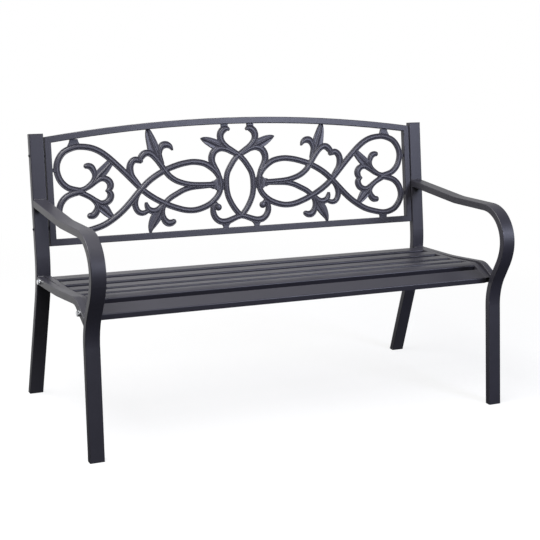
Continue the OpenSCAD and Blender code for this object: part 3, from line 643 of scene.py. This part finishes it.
def add_bead(mesh, corners, radius):
    """A fillet weld along straight runs between corners: a round bead with
    the ripples of its pool, coarse enough to show."""
    spots = []
    for a, b in zip(corners, corners[1:]):
        a, b = Vector(a), Vector(b)
        steps = max(2, round((b - a).length / BEAD_STEP))
        spots += [a.lerp(b, k / steps) for k in range(steps)]
    spots.append(Vector(corners[-1]))
    run = 0
    rings = []
    for i, spot in enumerate(spots):
        ahead = (spots[min(i + 1, len(spots) - 1)] - spots[max(i - 1, 0)]).normalized()
        side = ahead.orthogonal().normalized()
        if rings:
            side = last_side - ahead * last_side.dot(ahead)
            side.normalize()
        last_side = side
        up = ahead.cross(side)
        end = min(i, len(spots) - 1 - i)
        r = radius * (1 + RIPPLE_SHARE * math.sin(math.tau * run / RIPPLE_MM))
        r *= min(1, BEAD_START + BEAD_GROWTH * end)
        run += BEAD_STEP
        rings.append(
            [
                spot + (side * math.cos(t) + up * math.sin(t)) * r
                for t in (math.tau * k / BEAD_SIDES for k in range(BEAD_SIDES))
            ]
        )
    skin_rings(mesh, rings)


def welds():
    """The welds of one side frame, then their mirror image."""
    mesh = bmesh.new()
    a, b = POST_X
    for y, z in ARM_ON_POST:
        add_bead(mesh, [(a + ARM_INSET, y, z), (b - ARM_INSET, y, z)], ARM_BEAD)
    a, b = RAIL_X
    for (upper, lower), radius in ((RAIL_ON_POST, POST_BEAD), (RAIL_ON_LEG, LEG_BEAD)):
        add_bead(
            mesh,
            [(b - RAIL_INSET, *upper), (a, *upper), (a, *lower), (b - RAIL_INSET, *lower)],
            radius,
        )
    both_sides(mesh)
    return mesh


make("fillet_welds", welds(), "powder_coat", Matrix())

# Floor: pale, and white to the camera far from the bench. Near the bench it
# keeps the bench's shadow.
FLOOR_HALF = 14
SHADOW_REACH = 0.9
WHITE_FROM = 2.2
SHADOW_SHARE = 0.2

# The camera sees white all round. Gloss sees it only in this part, which is
# set to the photograph's gloss: from a first to a second y it comes in, and
# from a third to a fourth x it goes out. Metres on the floor, and shares of a
# direction in the room.
FLOOR_MASK = (-0.3, 1.5, 4, 8)
ROOM_MASK = (-0.3, 0.5, 0.4, 0.75)


def seen(tree, output, start, end, inner, outer):
    """1 for camera rays, and 0 for all but glossy and transmission rays. For
    those 1 inside the mask and 0 outside it, where the camera still sees
    white."""
    path = add(tree, "ShaderNodeLightPath")
    shiny = add(
        tree,
        "ShaderNodeMath",
        {"operation": "MAXIMUM"},
        {0: (path, "Is Glossy Ray"), 1: (path, "Is Transmission Ray")},
    )
    place = add(tree, "ShaderNodeTexCoord")
    way = add(tree, "ShaderNodeSeparateXYZ", {}, {"Vector": (place, output)})
    behind = add(
        tree,
        "ShaderNodeMapRange",
        {"interpolation_type": "SMOOTHSTEP", "From Min": start, "From Max": end},
        {"Value": (way, "Y")},
    )
    aside = add(
        tree,
        "ShaderNodeMapRange",
        {
            "interpolation_type": "SMOOTHSTEP",
            "From Min": inner,
            "From Max": outer,
            "To Min": 1,
            "To Max": 0,
        },
        {"Value": (way, "X")},
    )
    backdrop = add(
        tree,
        "ShaderNodeMath",
        {"operation": "MULTIPLY"},
        {0: (behind, "Result"), 1: (aside, "Result")},
    )
    mirrored = add(
        tree,
        "ShaderNodeMath",
        {"operation": "MULTIPLY"},
        {0: (shiny, "Value"), 1: (backdrop, "Value")},
    )
    return add(
        tree,
        "ShaderNodeMath",
        {"operation": "MAXIMUM"},
        {0: (path, "Is Camera Ray"), 1: (mirrored, "Value")},
    )


def studio_floor():
    """Matt paper sweep, light enough to stay out of the way of the bench."""
    material = bpy.data.materials.new("matt_white_paper_sweep")
    tree = fresh(material)
    place = add(tree, "ShaderNodeTexCoord")
    away = add(
        tree,
        "ShaderNodeVectorMath",
        {"operation": "LENGTH"},
        {"Vector": (place, "Object")},
    )
    far = add(
        tree,
        "ShaderNodeMapRange",
        {
            "interpolation_type": "SMOOTHSTEP",
            "From Min": SHADOW_REACH,
            "From Max": WHITE_FROM,
            "To Min": 1 - SHADOW_SHARE,
            "To Max": 1,
        },
        {"Value": (away, "Value")},
    )
    eye = add(tree, "ShaderNodeLightPath")
    white = add(
        tree,
        "ShaderNodeMath",
        {"operation": "MULTIPLY"},
        {0: (far, "Result"), 1: (seen(tree, "Object", *FLOOR_MASK), "Value")},
    )
    # Pale to the eye, and darker as a reflector, so that little light comes
    # up from below
    shade = add(
        tree,
        "ShaderNodeMix",
        {"data_type": "RGBA", 6: linear("#404040"), 7: linear("#f2f2f2")},
        {"Factor": (eye, "Is Camera Ray")},
    )
    paper = add(tree, "ShaderNodeBsdfDiffuse", {}, {"Color": (shade, 2)})
    glow = add(tree, "ShaderNodeEmission", {"Strength": 1})
    surface = add(
        tree,
        "ShaderNodeMixShader",
        {},
        {"Fac": (white, "Value"), 1: (paper, "BSDF"), 2: (glow, "Emission")},
    )
    add(tree, "ShaderNodeOutputMaterial", {}, {"Surface": (surface, "Shader")})
    return material


floor_sheet = bmesh.new()
bmesh.ops.create_grid(floor_sheet, x_segments=1, y_segments=1, size=FLOOR_HALF)
floor_data = bpy.data.meshes.new("floor")
floor_sheet.to_mesh(floor_data)
floor_sheet.free()
floor_data.materials.append(studio_floor())
floor = bpy.data.objects.new("floor", floor_data)
bpy.context.scene.collection.objects.link(floor)

# The room is white to the camera and, inside the mask, to gloss. It is
# dimmer as a light.
ROOM_LIGHT = 0.2
world = bpy.data.worlds.new("studio")
bpy.context.scene.world = world
room = fresh(world)
level = add(
    room,
    "ShaderNodeMapRange",
    {"To Min": ROOM_LIGHT, "To Max": 1},
    {"Value": (seen(room, "Generated", *ROOM_MASK), "Value")},
)
sky = add(
    room, "ShaderNodeBackground", {"Color": linear("#ffffff")}, {"Strength": (level, "Result")}
)
add(room, "ShaderNodeOutputWorld", {}, {"Surface": (sky, "Background")})

BENCH_MIDDLE = Vector((0, 0, 0.45))


def softbox(name, place, width, height, watts, colour):
    """A soft rectangular lamp that faces the bench."""
    light = bpy.data.lights.new(name, "AREA")
    light.color = linear(colour)[:3]
    light.shape = "RECTANGLE"
    light.size = width
    light.size_y = height
    light.energy = watts
    lamp = bpy.data.objects.new(name, light)
    lamp.location = place
    lamp.rotation_euler = (BENCH_MIDDLE - Vector(place)).to_track_quat("-Z", "Y").to_euler()
    bpy.context.scene.collection.objects.link(lamp)


softbox("lamp_above", (-1.3, -0.4, 2.9), 2.6, 1.4, 146, "#ffffff")
softbox("lamp_left", (-3.0, -0.2, 2.5), 1.6, 1.6, 14, "#ffffff")
softbox("lamp_front", (1.7, -2.9, 1.9), 1.3, 1.0, 92, "#dfe4ff")

# Camera: the photographer's place, aim and lens
CAMERA_AT = (-1.6074, -3.1735, 1.3109)
YAW, PITCH, ROLL = (math.radians(a) for a in (26.78, -14.54, 2.39))
lens = bpy.data.cameras.new("camera")
lens.sensor_width = 36
lens.lens = 85.35
lens.clip_end = 60
camera = bpy.data.objects.new("camera", lens)
camera.matrix_world = (
    Matrix.Translation(CAMERA_AT)
    @ Matrix.Rotation(-YAW, 4, "Z")
    @ Matrix.Rotation(math.pi / 2 + PITCH, 4, "X")
    @ Matrix.Rotation(ROLL, 4, "Z")
)
bpy.context.scene.collection.objects.link(camera)
bpy.context.scene.camera = camera
bpy.context.scene.view_settings.view_transform = "Standard"
